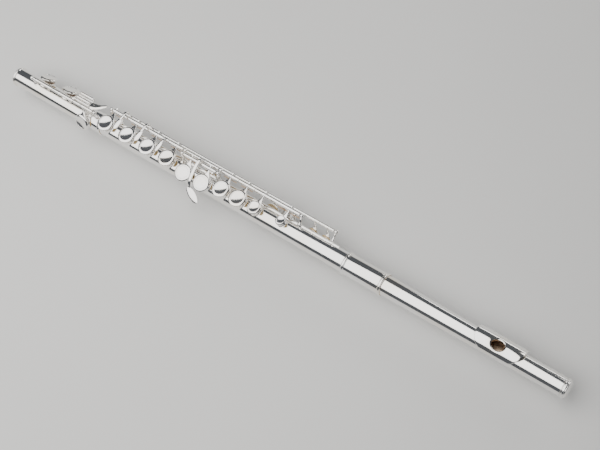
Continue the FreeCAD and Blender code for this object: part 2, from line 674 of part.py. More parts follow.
def screws():
    """Slotted screw heads that close the posts' outer ends: (rod line, the steel's end, way out)."""
    rows = [("main", 130.2, -1), ("main", 379.4, 1), ("g", 232.0, -1), ("thumb", 367.0, 1),
            ("thumb", 325.0, -1)]
    made = []
    for i, (line, face, out) in enumerate(rows):
        start, end = (f"{face}", f"{face} + screw_head") if out > 0 else (f"{face} - screw_head", f"{face}")
        head = rod(f"screw_head_{i}", start, end, "steel_r", RODS[line])
        slot = add("Part::Box", f"screw_slot_{i}", Length="screw_slot", Width="3 * steel_r",
                   Height="screw_slot")
        outer = f"{end} - screw_slot" if out > 0 else start
        place(slot, outer, RODS[line][0] - 1.5 * D["steel_r"], RODS[line][1] - D["screw_slot"] / 2)
        made.append(cut(f"screw_{i}", head, slot))
    sub_part(group("pivot_screws", made), "pivot_screws")


def rib(chimney_walls):
    """The strap along the player's side that the body's posts stand on."""
    first, last = 55.5, 74.0
    sector = add("Part::Cylinder", "rib_sector", Radius="tube_r + rib_thick", Height="rib_end - rib_start")
    sector.Angle = last - first
    turn = Rotation(Vector(0, 0, 1), Vector(1, 0, 0))
    start = turn.multVec(Vector(1, 0, 0))
    spin = math.degrees(math.atan2(start.y, start.z))
    place(sector, "rib_start", 0, 0, Rotation(Vector(1, 0, 0), spin - last) * turn)
    inside = rod("rib_inside", "rib_start - 1", "rib_end + 1", "tube_r", (0, 0))
    made = cut("main_rib", sector, fuse("rib_voids", [inside] + chimney_walls))
    sub_part(made, "main_rib")


def springs():
    """Needle springs: thin wires from the posts, under the hinge tubes they push round."""
    rows = [("main", "133.0", "149.0"), ("main", "160.0", "176.0"), ("main", "188.0", "202.0"),
            ("main", "214.0", "231.0"), ("main", "236.0", "252.0"), ("main", "283.0", "299.0"),
            ("main", "305.0", "319.0"), ("main", "350.0", "376.0"), ("g", "238.0", "252.0"),
            ("thumb", "330.0", "346.0")]
    made = []
    for i, (line, start, end) in enumerate(rows):
        y, z = polar(math.hypot(*RODS[line]) - 3.6, math.degrees(math.atan2(*RODS[line])))
        made.append(rod(f"spring_{i}", start, end, "spring_r", (y, z)))
    sub_part(group("needle_springs", made), "needle_springs")


def save():
    """Checks every object of the document, then writes each sub-part's solid shape."""
    doc.recompute()
    for made in doc.Objects:
        if "Invalid" in made.State or "Error" in made.State:
            raise SystemExit(f"{made.Name} failed: {made.State}")
    os.makedirs("parts", exist_ok=True)
    for made in SUB_PARTS:
        shape = made.Shape
        if shape.isNull() or not shape.isValid() or not shape.Solids:
            raise SystemExit(f"{made.Label} has no valid solid")
        shape.exportStep(f"parts/{made.Label}.step")
        print(f"{made.Label}: {len(shape.Solids)} solids, {shape.Volume:.1f} mm3")


open_keys()
g_sharp_key()
trill_keys()
side_lever()
thumb_keys()
foot_keys()
collars = body_tube()
foot_tube()
barrel()
head_joint()
stopper_and_crown()
body_posts()
foot_posts()
steels()
screws()
rib(collars)
springs()
save()
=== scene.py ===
"""Looks for the concert flute: finer meshes, procedural metals, pads and cork, studio and camera."""
import json
import math

import bmesh
import bpy
from mathutils import Matrix, Vector


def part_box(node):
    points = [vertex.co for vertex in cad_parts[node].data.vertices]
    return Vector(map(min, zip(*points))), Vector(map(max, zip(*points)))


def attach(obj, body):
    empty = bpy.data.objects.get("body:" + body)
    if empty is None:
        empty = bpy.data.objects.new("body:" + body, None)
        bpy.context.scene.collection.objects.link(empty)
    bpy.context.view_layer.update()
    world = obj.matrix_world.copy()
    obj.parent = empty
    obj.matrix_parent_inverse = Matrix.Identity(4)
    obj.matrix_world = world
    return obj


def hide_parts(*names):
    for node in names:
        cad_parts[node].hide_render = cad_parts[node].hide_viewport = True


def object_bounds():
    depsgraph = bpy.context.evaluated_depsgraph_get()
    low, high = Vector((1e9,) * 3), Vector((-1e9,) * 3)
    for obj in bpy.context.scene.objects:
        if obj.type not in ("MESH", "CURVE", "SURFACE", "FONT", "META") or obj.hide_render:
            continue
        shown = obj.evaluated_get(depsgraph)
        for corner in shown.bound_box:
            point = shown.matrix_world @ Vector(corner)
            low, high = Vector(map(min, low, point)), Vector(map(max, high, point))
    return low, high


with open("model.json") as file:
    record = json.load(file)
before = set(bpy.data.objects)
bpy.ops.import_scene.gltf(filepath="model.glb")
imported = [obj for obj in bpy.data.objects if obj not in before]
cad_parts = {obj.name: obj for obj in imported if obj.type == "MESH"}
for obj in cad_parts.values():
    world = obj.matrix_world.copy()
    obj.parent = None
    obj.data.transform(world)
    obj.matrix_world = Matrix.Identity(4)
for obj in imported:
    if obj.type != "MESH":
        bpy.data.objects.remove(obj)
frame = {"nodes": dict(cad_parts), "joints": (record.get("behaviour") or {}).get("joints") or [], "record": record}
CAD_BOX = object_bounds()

MM = 0.001
TAU = 2 * math.pi
JOINTS = {joint["child"]: joint for joint in frame["joints"]}

# ---------------------------------------------------------------- sizes in mm
# They are the CAD's, but for the mouth hole and the cups' dish, which are a little larger, as in the photo.
# Radii of the tubes and of their bores.
TUBE_R, BORE_R, SOCKET_R, SOCKET_BORE_R = 9.9, 9.5, 10.5, 9.95
HEAD_R, HEAD_BORE_R = 8.9, 8.45
# Where the head joint starts and stops narrowing, and how deep the foot's socket is.
HEAD_TAPER = (482.0, 590.0)
SOCKET_DEPTH = 13
# The lip plate's top and sheet; half the mouth hole's length and width, and its turn in degrees from the
# keys' line; the wall under the plate.
PLATE_R, PLATE_THICK = 12.6, 0.9
MOUTH = (6.5, 5.4)
MOUTH_TURN = -8
RISER_WALL = 1.0
# The crown: its face's gap from the tube, its dome's thickness, and the stopper rod's hole.
CROWN_GAP, CROWN_WALL, ROD_HOLE_R = 0.2, 4.8, 1.66
# Tone holes: the height of the rim, how far it lies inside its cup's edge, its bead and its wall.
RIM_TOP, RIM_INSET, RIM_BEAD, CHIMNEY_WALL = 11.7, 1.7, 0.35, 0.4
PAD_THICK, PAD_PROUD, CUP_TALL, CUP_WALL, CUP_DISH = 1.8, 0.4, 2.5, 0.45, 0.85
PAD_GAP = 0.06
KEY_LIFT = math.radians(7.2)
HINGE_R, TRILL_TUBE_R, HINGE_BORE = 1.9, 1.6, 1.05
KNUCKLE_PROUD, TRILL_KNUCKLE_PROUD = 0.22, 0.25
ROLLER_EARS, ROLLER_BORE = (92.1, 111.6), 0.46
BALL_R, POST_R, POST_BASE_R = 2.2, 1.15, 2.5
CUP_R = {"large": 9.2, "g_sharp": 8.3, "thumb": 8.4, "medium": 7.2, "trill": 5.6, "small": 5.3}
# Where the arms of the touches leave their rods.
G_SHARP_X, SIDE_X, E_FLAT_X = 256.85, 206.9, 116.5
D_TRILL_X, D_SHARP_TRILL_X = 180.2, 151.4
THUMB_B_X, THUMB_B_FLAT_X = 349.4, 357.8
# Corners in a full turn, from rods to tubes.
ROD_STEPS, ROLLER_STEPS, ROUND_STEPS, HOLE_STEPS, RING_STEPS, TUBE_STEPS = 32, 40, 64, 96, 128, 192
# Where the cut for a hole starts and ends, out from the flute's axis.
CUT_FROM, CUT_TO = 2, 16

# ---------------------------------------------------------------- colours and light
SILVER_BRIGHT, SILVER_BASE = (0.955, 0.945, 0.925), (0.94, 0.92, 0.89)
BORE_COLOUR, BORE_ROUGH = (0.72, 0.56, 0.42), (0.42, 0.42, 0.42)
# A surface faces the axis where its normal times its place across the flute, in metres, is below this.
INWARD_BELOW = 0.0012
FLOOR_COLOUR, FLOOR_ROUGH, FLOOR_HALF, FLOOR_GAP = (0.70, 0.70, 0.69), 0.6, 6.0, 0.0004
ROOM_COLOUR, ROOM_STRENGTH = (0.62, 0.66, 0.72, 1), 0.15
LAMP_COLOUR = (1.0, 0.985, 0.96)
# The camera: the flute's tilt, roll and slant in the picture, in degrees, and a slight turn of its line; the
# place of its foot end beside the line of sight, and the distance, in mm; and the lens.
VIEW_TILT, VIEW_ROLL, VIEW_SLANT = 24.0, 8.5, 29.43
VIEW_BEND = 0.0032
VIEW_RIGHT, VIEW_DOWN, VIEW_AWAY = -344, 9.4, 1247
LENS, SENSOR = 69.0, 36.0


def deg(*angles):
    """Degrees in radians: one number, or a list for several."""
    turned = [math.radians(a) for a in angles]
    return turned[0] if len(turned) == 1 else turned


# Each cup: its pad's node, its size, the angle round the tube that it faces, and its place in a node that
# holds two pads (-1 the foot end, 1 the head end, 0 the only pad).
CUPS = {
    "d_key": [("d_pad", "large", deg(0), 0)],
    "e_key": [("e_pad", "large", deg(0), 0)],
    "f_key": [("f_pad", "large", deg(0), 0)],
    "f_sharp_key": [("f_sharp_pad", "large", deg(0), 0)],
    "g_key": [("g_pad", "large", deg(-18), -1), ("g_pad", "large", deg(-18), 1)],
    "a_key": [("a_pad", "large", deg(0), 0)],
    "b_flat_key": [("b_flat_pad", "large", deg(0), 0)],
    "c_key": [("c_pad", "medium", deg(0), -1), ("c_pad", "small", deg(8), 1)],
    "g_sharp_key": [("g_sharp_pad", "g_sharp", deg(106.4), 0)],
    "d_trill_key": [("d_trill_pad", "trill", deg(118.2), 0)],
    "d_sharp_trill_key": [("d_sharp_trill_pad", "trill", deg(118.2), 0)],
    "thumb_b_key": [("thumb_b_pad", "thumb", deg(140), 0)],
    "e_flat_key": [("e_flat_pad", "large", deg(-54), 0)],
    "c_sharp_key": [("c_sharp_pad", "large", deg(60.7), 0)],
    "c_foot_key": [("c_foot_pad", "large", deg(60.7), 0)],
}
# Keys that rest shut; the others stand lifted.
CLOSED = {"g_sharp_key", "d_trill_key", "d_sharp_trill_key", "e_flat_key"}
FOOT_KEYS = ("e_flat_key", "c_sharp_key", "c_foot_key")
# The two keys whose hinge tube is in two lengths, with other keys' tubes in the gap between these places.
GAPS = {"d_sharp_trill_key": (176.6, 395.4), "c_foot_key": (62.0, 92.7)}


def rod_of(body):
    """The (y, z) in mm of the line that a key turns about."""
    pos = JOINTS[body]["pos_m"]
    return pos[1] / MM, pos[2] / MM


def span_of(node):
    """How far a node reaches along X, in mm."""
    low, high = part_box(node)
    return low.x / MM, high.x / MM


# ---------------------------------------------------------------- mesh helpers
class Shape:
    """Collects surfaces in mm and turns them into one piece."""

    def __init__(self):
        self.verts = []
        self.faces = []

    def skin(self, rings, matrix=None, caps=True, closed=False):
        """Joins rings of equal length; caps closes both ends, closed joins the last ring to the first."""
        first = len(self.verts)
        count = len(rings[0])
        for ring in rings:
            for point in ring:
                self.verts.append(matrix @ Vector(point) if matrix else Vector(point))
        rows = len(rings)
        for i in range(rows if closed else rows - 1):
            a, b = first + i * count, first + (i + 1) % rows * count
            for k in range(count):
                n = (k + 1) % count
                self.faces.append((a + k, a + n, b + n, b + k))
        if caps and not closed:
            self.faces.append(tuple(first + k for k in reversed(range(count))))
            self.faces.append(tuple(first + (rows - 1) * count + k for k in range(count)))
        return self

    def lathe(self, profile, matrix, steps=ROUND_STEPS, closed=False):
        """Turns a profile of (along, radius) about the matrix's own Z."""
        rings = [[(r * math.cos(TAU * k / steps), r * math.sin(TAU * k / steps), along)
                  for k in range(steps)] for along, r in profile]
        return self.skin(rings, matrix, caps=not closed, closed=closed)

    def piece(self, name, body, slot, material, *nodes, sharp=38):
        """Makes the object; edges sharper than so many degrees stay crisp."""
        mesh = bpy.data.meshes.new(name)
        mesh.from_pydata([v * MM for v in self.verts], [], self.faces)
        made = bpy.data.objects.new(name, mesh)
        bpy.context.collection.objects.link(made)
        tidy_normals(mesh, sharp)
        mesh.materials.append(material)
        return carry(made, body, slot, *nodes)


def tidy_normals(mesh, sharp):
    """Welds doubled points, turns every face outward and shades all but the sharp edges smooth."""
    work = bmesh.new()
    work.from_mesh(mesh)
    bmesh.ops.remove_doubles(work, verts=work.verts, dist=1e-7)
    bmesh.ops.dissolve_degenerate(work, edges=work.edges, dist=1e-8)
    bmesh.ops.recalc_face_normals(work, faces=work.faces)
    work.to_mesh(mesh)
    work.free()
    mesh.shade_smooth()
    mesh.set_sharp_from_angle(angle=math.radians(sharp))


def carry(made, body, slot, *nodes):
    """Ties a piece to its body and the CAD nodes that it stands for; slot is not used."""
    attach(made, body)
    if nodes:
        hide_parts(*nodes)
    return made


def rounded(points, radius, closed=False, steps=4):
    """A line of (along, radius) points with its corners rounded."""
    out = []
    count = len(points)
    for i, here in enumerate(points):
        if not closed and i in (0, count - 1):
            out.append(tuple(here))
            continue
        here = Vector(here)
        before, after = Vector(points[i - 1]), Vector(points[(i + 1) % count])
        back, on = before - here, after - here
        reach = min(radius, back.length * 0.45, on.length * 0.45)
        a, b = here + back.normalized() * reach, here + on.normalized() * reach
        for k in range(steps + 1):
            t = k / steps
            out.append(tuple(a * (1 - t) ** 2 + here * 2 * t * (1 - t) + b * t * t))
    return out


def smooth_path(points, per_run=8):
    """A Catmull-Rom curve through the points."""
    spots = [Vector(p) for p in points]
    spots = [spots[0] * 2 - spots[1]] + spots + [spots[-1] * 2 - spots[-2]]
    out = []
    for i in range(1, len(spots) - 2):
        p0, p1, p2, p3 = spots[i - 1:i + 3]
        for k in range(per_run):
            t = k / per_run
            out.append(0.5 * (2 * p1 + (p2 - p0) * t + (2 * p0 - 5 * p1 + 4 * p2 - p3) * t * t
                              + (3 * p1 - p0 - 3 * p2 + p3) * t ** 3))
    out.append(spots[-2])
    return out


def smooth_loop(points, per_run=6):
    """A closed Catmull-Rom curve through the points."""
    spots = [Vector(p) for p in points]
    count = len(spots)
    out = []
    for i in range(count):
        p0, p1, p2, p3 = (spots[(i + k) % count] for k in (-1, 0, 1, 2))
        for k in range(per_run):
            t = k / per_run
            out.append(0.5 * (2 * p1 + (p2 - p0) * t + (2 * p0 - 5 * p1 + 4 * p2 - p3) * t * t
                              + (3 * p1 - p0 - 3 * p2 + p3) * t ** 3))
    return out


def along_x(x, y=0.0, z=0.0):
    """A frame whose Z runs along the flute."""
    return Matrix.Translation((x, y, z)) @ Matrix.Rotation(math.pi / 2, 4, "Y")


def upright(base, top):
    """A frame at base whose Z points to top."""
    base, top = Vector(base), Vector(top)
    return Matrix.Translation(base) @ (top - base).to_track_quat("Z", "Y").to_matrix().to_4x4()


def round_bar(half_wide, half_thick, power=3.2, steps=20):
    """A rounded-oblong section as (across, up) points."""
    out = []
    for k in range(steps):
        c, s = math.cos(TAU * k / steps), math.sin(TAU * k / steps)
        out.append((half_wide * math.copysign(abs(c) ** (2 / power), c),
                    half_thick * math.copysign(abs(s) ** (2 / power), s)))
    return out


def strap(shape, path, x, wide, thick):
    """A bar of rounded section through (y, z) points at x; wide and thick are functions of 0 to 1."""
    line = smooth_path([(0, y, z) for y, z in path])
    rings = []
    for i, spot in enumerate(line):
        t = i / (len(line) - 1)
        ahead = (line[min(i + 1, len(line) - 1)] - line[max(i - 1, 0)]).normalized()
        up = ahead.cross(Vector((1, 0, 0)))
        rings.append([Vector((x + a, spot.y, spot.z)) + up * b for a, b in round_bar(wide(t), thick(t))])
    return shape.skin(rings)


def leaf(shape, outline, y, z, tilt, thick=1.0, crown=0.35):
    """A finger touch: a smooth outline with a rounded edge and a slightly domed top."""
    edge = smooth_loop([(px, py, 0) for px, py in outline])
    centre = sum(edge, Vector()) / len(edge)
    layers = [(0.55, -thick * 0.42), (0.9, -thick * 0.5), (0.975, -thick * 0.4), (1.0, 0.0),
              (0.98, thick * 0.36), (0.92, thick * 0.5), (0.75, thick * 0.5 + crown * 0.5),
              (0.45, thick * 0.5 + crown * 0.85), (0.12, thick * 0.5 + crown)]
    frame_here = Matrix.Translation((0, y, z)) @ Matrix.Rotation(tilt, 4, "X")
    rings = [[centre + (p - centre) * scale + Vector((0, 0, up)) for p in edge] for scale, up in layers]
    return shape.skin(rings, frame_here)


def cut_with(piece, cutters):
    """Takes closed shapes away from a piece, then deletes them."""
    for cutter in cutters:
        tool = piece.modifiers.new("cut", "BOOLEAN")
        tool.object = cutter
        tool.operation = "DIFFERENCE"
        tool.solver = "EXACT"
    graph = bpy.context.evaluated_depsgraph_get()
    mesh = bpy.data.meshes.new_from_object(piece.evaluated_get(graph))
    piece.modifiers.clear()
    old = piece.data
    piece.data = mesh
    mesh.name = old.name + "_cut"
    for cutter in cutters:
        bpy.data.objects.remove(cutter)
    mesh.shade_smooth()
    mesh.set_sharp_from_angle(angle=math.radians(35))


def cutter(name, radius, matrix, squeeze=1.0):
    """A round bar that cuts a hole, narrowed across by squeeze."""
    shape = Shape()
    shape.lathe([(CUT_FROM, radius), (CUT_TO, radius)], matrix @ Matrix.Diagonal((1, squeeze, 1, 1)))
    mesh = bpy.data.meshes.new(name)
    mesh.from_pydata([v * MM for v in shape.verts], [], shape.faces)
    tidy_normals(mesh, 30)
    made = bpy.data.objects.new(name, mesh)
    bpy.context.collection.objects.link(made)
    return made


# ---------------------------------------------------------------- materials
def material(name, colour, metal, rough):
    """A new material with its nodes, links and shader."""
    made = bpy.data.materials.new(name)
    made.use_nodes = True
    nodes, links = made.node_tree.nodes, made.node_tree.links
    shader = nodes["Principled BSDF"]
    shader.inputs["Base Color"].default_value = (*colour, 1)
    shader.inputs["Metallic"].default_value = metal
    shader.inputs["Roughness"].default_value = rough
    return made, nodes, links, shader


def add_node(nodes, kind, **values):
    """A node with its inputs set by name."""
    made = nodes.new(kind)
    for key, value in values.items():
        made.inputs[key.replace("_", " ")].default_value = value
    return made


def object_noise(nodes, links, scale, detail, stretch=(1, 1, 1)):
    """Noise fixed to the piece; a small stretch draws it out along that axis."""
    place = nodes.new("ShaderNodeTexCoord")
    shape = nodes.new("ShaderNodeMapping")
    shape.inputs["Scale"].default_value = stretch
    noise = add_node(nodes, "ShaderNodeTexNoise", Scale=scale, Detail=detail)
    links.new(place.outputs["Object"], shape.inputs["Vector"])
    links.new(shape.outputs["Vector"], noise.inputs["Vector"])
    return noise.outputs["Fac"]


def ramp(nodes, links, source, low, high, start=0.3, end=0.7):
    """A source remapped to colours or grey levels between two stops."""
    made = nodes.new("ShaderNodeValToRGB")
    first, last = made.color_ramp.elements
    first.position, last.position = start, end
    first.color = (*low, 1) if isinstance(low, tuple) else (low, low, low, 1)
    last.color = (*high, 1) if isinstance(high, tuple) else (high, high, high, 1)
    links.new(source, made.inputs["Fac"])
    return made.outputs["Color"]


def bump(nodes, links, shader, source, strength, distance):
    """Fine relief from a source's brightness."""
    made = add_node(nodes, "ShaderNodeBump", Strength=strength, Distance=distance)
    links.new(source, made.inputs["Height"])
    links.new(made.outputs["Normal"], shader.inputs["Normal"])


def bore_mask(nodes, links):
    """1 on surfaces that face the flute's axis, such as bores and hole walls, and 0 elsewhere."""
    place = nodes.new("ShaderNodeTexCoord")
    across = nodes.new("ShaderNodeVectorMath")
    across.operation = "MULTIPLY"
    across.inputs[1].default_value = (0, 1, 1)
    links.new(place.outputs["Object"], across.inputs[0])
    facing = nodes.new("ShaderNodeVectorMath")
    facing.operation = "DOT_PRODUCT"
    links.new(across.outputs["Vector"], facing.inputs[0])
    links.new(place.outputs["Normal"], facing.inputs[1])
    inward = nodes.new("ShaderNodeMath")
    inward.operation = "LESS_THAN"
    inward.inputs[1].default_value = INWARD_BELOW
    links.new(facing.outputs["Value"], inward.inputs[0])
    return inward.outputs["Value"]


def mix(nodes, links, mask, first, second):
    """The first of two colours where the mask is 0 and the second where it is 1."""
    made = nodes.new("ShaderNodeMix")
    made.data_type = "RGBA"
    links.new(mask, made.inputs["Factor"])
    for source, socket in ((first, made.inputs["A"]), (second, made.inputs["B"])):
        if isinstance(source, tuple):
            socket.default_value = (*source, 1)
        else:
            links.new(source, socket)
    return made.outputs["Result"]


def silver(name, warm, rough, wear=0.03, aged_bore=False):
    """Polished silver plate: faint warm tarnish in patches, and a haze of fine handling marks."""
    made, nodes, links, shader = material(name, SILVER_BASE, 1.0, rough)
    tarnish = object_noise(nodes, links, 38, 5)
    tinted = (0.955 - 0.05 * warm, 0.925 - 0.10 * warm, 0.885 - 0.2 * warm)
    colour = ramp(nodes, links, tarnish, SILVER_BRIGHT, tinted, 0.45, 0.75)
    smears = object_noise(nodes, links, 130, 6, (0.5, 1.4, 1.4))
    finish = ramp(nodes, links, smears, rough, rough + wear, 0.42, 0.68)
    if aged_bore:
        inward = bore_mask(nodes, links)
        colour = mix(nodes, links, inward, colour, BORE_COLOUR)
        finish = mix(nodes, links, inward, finish, BORE_ROUGH)
    links.new(colour, shader.inputs["Base Color"])
    links.new(finish, shader.inputs["Roughness"])
    scuffs = object_noise(nodes, links, 2600, 2, (0.06, 1, 1))
    bump(nodes, links, shader, scuffs, 0.02, 0.00002)
    return made


def pad_skin():
    """Waxed skin stretched over felt: straw yellow, faintly wrinkled."""
    made, nodes, links, shader = material("pad_skin", (0.80, 0.62, 0.33), 0.0, 0.42)
    blotches = object_noise(nodes, links, 320, 6)
    links.new(ramp(nodes, links, blotches, (0.62, 0.42, 0.17), (0.88, 0.72, 0.44)),
              shader.inputs["Base Color"])
    wrinkles = object_noise(nodes, links, 1500, 8, (1, 1, 0.4))
    bump(nodes, links, shader, wrinkles, 0.35, 0.0002)
    shader.inputs["Coat Weight"].default_value = 0.25
    shader.inputs["Coat Roughness"].default_value = 0.3
    return made


def cork():
    """Cork with dark pores."""
    made, nodes, links, shader = material("cork", (0.55, 0.34, 0.18), 0.0, 0.8)
    pores = object_noise(nodes, links, 900, 9, (0.6, 1, 1))
    links.new(ramp(nodes, links, pores, (0.24, 0.12, 0.05), (0.68, 0.46, 0.26), 0.34, 0.56),
              shader.inputs["Base Color"])
    bump(nodes, links, shader, pores, 0.6, 0.0004)
    return made


def drawn_metal(name, low, high, rough):
    """Ground or drawn metal with marks along the flute."""
    made, nodes, links, shader = material(name, high, 1.0, rough)
    lines = object_noise(nodes, links, 2200, 3, (0.02, 1, 1))
    links.new(ramp(nodes, links, lines, low, high), shader.inputs["Base Color"])
    links.new(ramp(nodes, links, lines, rough * 0.8, rough * 1.35), shader.inputs["Roughness"])
    bump(nodes, links, shader, lines, 0.12, 0.00004)
    return made


TUBE = silver("tube_silver", 0.35, 0.075, aged_bore=True)
INSIDE = drawn_metal("aged_silver", (0.60, 0.46, 0.34), (0.84, 0.70, 0.56), 0.34)
FITTING = silver("fitting_silver", 0.5, 0.07)
KEY = silver("key_silver", 0.45, 0.085, 0.05)
PAD = pad_skin()
CORK = cork()
STEEL = drawn_metal("steel", (0.42, 0.42, 0.43), (0.62, 0.61, 0.60), 0.26)
BRONZE = drawn_metal("spring_bronze", (0.42, 0.22, 0.09), (0.66, 0.42, 0.20), 0.3)
BRASS = drawn_metal("brass", (0.62, 0.43, 0.18), (0.82, 0.64, 0.32), 0.24)


# ---------------------------------------------------------------- keys
def seat(x, angle, rod, lift):
    """The frame of a cup over its tone hole, swung open by lift about its rod."""
    y, z = rod
    side = 1 if math.atan2(y, z) > angle else -1
    pin = Matrix.Translation((0, y, z))
    swing = pin @ Matrix.Rotation(-side * lift, 4, "X") @ pin.inverted()
    return swing @ Matrix.Translation((x, 0, 0)) @ Matrix.Rotation(-angle, 4, "X"), side


def pad_place(node, size, which):
    """A pad's place along X: the middle of its node, or one end of a node with two pads."""
    low, high = span_of(node)
    reach = CUP_R[size] - CUP_WALL - 0.05    # the radius of the CAD's pad
    return {0: (low + high) / 2, -1: low + reach, 1: high - reach}[which]


def add_cup(shape, cup_r, frame_here):
    """A key cup, open underneath for its pad: a rounded rim that falls away outside a concave dish."""
    low, plate, top = RIM_TOP + PAD_PROUD, RIM_TOP + PAD_THICK, RIM_TOP + PAD_PROUD + CUP_TALL
    dish_r, crest = cup_r * 0.68, cup_r * 0.76
    skirt = rounded([(plate, 0.4), (plate, cup_r - CUP_WALL), (low, cup_r - CUP_WALL), (low, cup_r),
                     (top - 1.2, cup_r)], 0.25)
    steps = 9
    rim = [(top - 0.95 * (k / steps) ** 2, crest + (cup_r - 0.1 - crest) * k / steps)
           for k in range(steps, -1, -1)]
    lip = [(top - 0.03, dish_r + 0.3), (top - 0.13, dish_r + 0.1)]
    dish = [(top - 0.25 - (CUP_DISH - 0.25) * (1 - (k / steps) ** 2), dish_r * k / steps)
            for k in range(steps, 0, -1)]
    shape.lathe(skirt + rim + lip + dish, frame_here)


def add_arm(shape, cup_r, rod, angle, side, frame_here, tail):
    """The arm to a cup: a slim neck and a fork on the cup's wall; tail adds a rounded end behind the rod."""
    across = math.atan2(*rod) - angle
    y0, z0 = math.hypot(*rod) * math.sin(across), math.hypot(*rod) * math.cos(across)
    z1 = RIM_TOP + PAD_PROUD + 0.95
    neck_shift, fork_shift = 0.9, cup_r * 0.24    # toward the head
    neck, fork, wall_r = 1.25, cup_r * 0.5, cup_r * 0.965
    # The tail as (behind the rod, above it, half its width).
    outline = ((3.85, 1.3, 0.3), (3.65, 1.25, 0.8), (3.1, 1.05, 1.2), (2.4, 0.75, 1.35), (1.6, 0.35, 1.3))
    rings = [[(a + neck_shift, y0 + side * back, z0 + up + b) for a, b in round_bar(wide, wide * 0.75, 2.2)]
             for back, up, wide in outline if tail]
    steps = 16
    for k in range(steps + 1):
        t = k / steps
        wide = neck - 0.25 * math.sin(math.pi * min(1, t * 1.6)) + (fork - neck) * t ** 3.2
        thick = 0.95 - 0.45 * t
        shift = neck_shift + (fork_shift - neck_shift) * t
        ring = []
        for a, b in round_bar(wide, thick, 2.4):
            wall = side * math.sqrt(wall_r ** 2 - (a + shift) ** 2)
            ring.append((a + shift, y0 + (wall - y0) * t, z0 + (z1 - z0) * t + b))
        rings.append(ring)
    shape.skin(rings, frame_here)


def add_hinge(shape, start, end, rod, outer=HINGE_R):
    """A bored hinge tube with softened ends."""
    long = end - start
    profile = rounded([(0, HINGE_BORE), (0, outer), (long, outer), (long, HINGE_BORE)], 0.3, closed=True)
    shape.lathe(profile, along_x(start, *rod), ROD_STEPS, closed=True)


def add_knuckle(shape, x, rod, radius, wide):
    """A rounded collar on a hinge tube, where an arm or a pin joins it."""
    half, root = wide / 2, radius - 0.6
    profile = rounded([(-half, root), (-half, radius), (half, radius), (half, root)], 0.35)
    shape.lathe(profile, along_x(x, *rod), ROD_STEPS)


def pad_piece(name, node, sizes, frames, body):
    """Pads: discs with a rounded lip and the ring that the tone hole's rim has pressed in them."""
    low, high = RIM_TOP + 0.02, RIM_TOP + PAD_THICK - 0.02
    shape = Shape()
    for cup_r, frame_here in zip(sizes, frames):
        pad_r = cup_r - CUP_WALL - PAD_GAP
        rim = cup_r - RIM_INSET
        profile = [(high, pad_r - 0.05), (low + 0.5, pad_r), (low + 0.15, pad_r - 0.12),
                   (low, pad_r - 0.45), (low, rim + 0.5), (low + 0.05, rim), (low, rim - 0.5),
                   (low + 0.04, rim * 0.3)]
        shape.lathe(profile, frame_here)
    shape.piece(name, body, "pad_skin", PAD, node, sharp=60)


def make_key(node, extras=()):
    """A key's metal, built from its cups, hinge tubes and touches, and its pads."""
    rod = rod_of(node)
    tube_r = TRILL_TUBE_R if "trill" in node else HINGE_R
    low, high = hinge_span(node, tube_r)
    shape = Shape()
    gap = GAPS.get(node)
    spans = [(low, gap[0]), (gap[1], high)] if gap else [(low, high)]
    for start, end in spans:
        add_hinge(shape, start, end, rod, tube_r)
    frames, sizes = [], []
    lift = 0 if node in CLOSED else KEY_LIFT
    for pad, size, angle, which in CUPS.get(node, ()):
        x = pad_place(pad, size, which)
        frame_here, side = seat(x, angle, rod, lift)
        add_cup(shape, CUP_R[size], frame_here)
        add_arm(shape, CUP_R[size], rod, angle, side, frame_here, abs(angle) < deg(20))
        add_knuckle(shape, x, rod, tube_r + KNUCKLE_PROUD, 3.9)
        frames.append(frame_here)
        sizes.append(CUP_R[size])
    for extra in extras:
        extra(shape, rod)
    shape.piece(node + "_metal", node, "key_silver", KEY, node)
    if frames:
        pad = CUPS[node][0][0]
        pad_piece(pad + "_skin", pad, sizes, frames, node)


KEYS = ["d_key", "e_key", "f_key", "f_sharp_key", "g_key", "a_key", "b_flat_key", "c_key", "g_sharp_key",
        "d_sharp_trill_key", "d_trill_key", "side_lever", "thumb_b_key", "thumb_b_flat_lever", "e_flat_key",
        "c_sharp_key", "c_foot_key"]


def hinge_span(node, tube_r):
    """Where a key's hinge tube starts and ends, from the CAD points that lie on it."""
    y, z = rod_of(node)
    on_tube = [v.co.x / MM for v in frame["nodes"][node].data.vertices
               if abs(math.hypot(v.co.y / MM - y, v.co.z / MM - z) - tube_r) < 0.03]
    return min(on_tube), max(on_tube)


def g_sharp_lever(shape, rod):
    """The long lever over the G rod, and its leaf-shaped touch."""
    path = [rod, (14.6, 19.9), (9.5, 21.0), (-1.0, 18.6), (-9.0, 14.6), (-13.6, 9.9)]
    strap(shape, path, G_SHARP_X, lambda t: 1.5 + 0.5 * t * t, lambda t: 0.85 - 0.25 * t)
    outline = [(255.5, 1.2), (258.0, 2.2), (263.5, 0.9), (269.4, -3.2), (272.3, -7.4), (270.6, -9.7),
               (265.6, -9.3), (259.3, -6.2), (255.6, -2.2)]
    leaf(shape, outline, -15.0, 8.6, deg(25), 1.0, 0.5)
    add_knuckle(shape, G_SHARP_X, rod, HINGE_R + KNUCKLE_PROUD, 3.6)


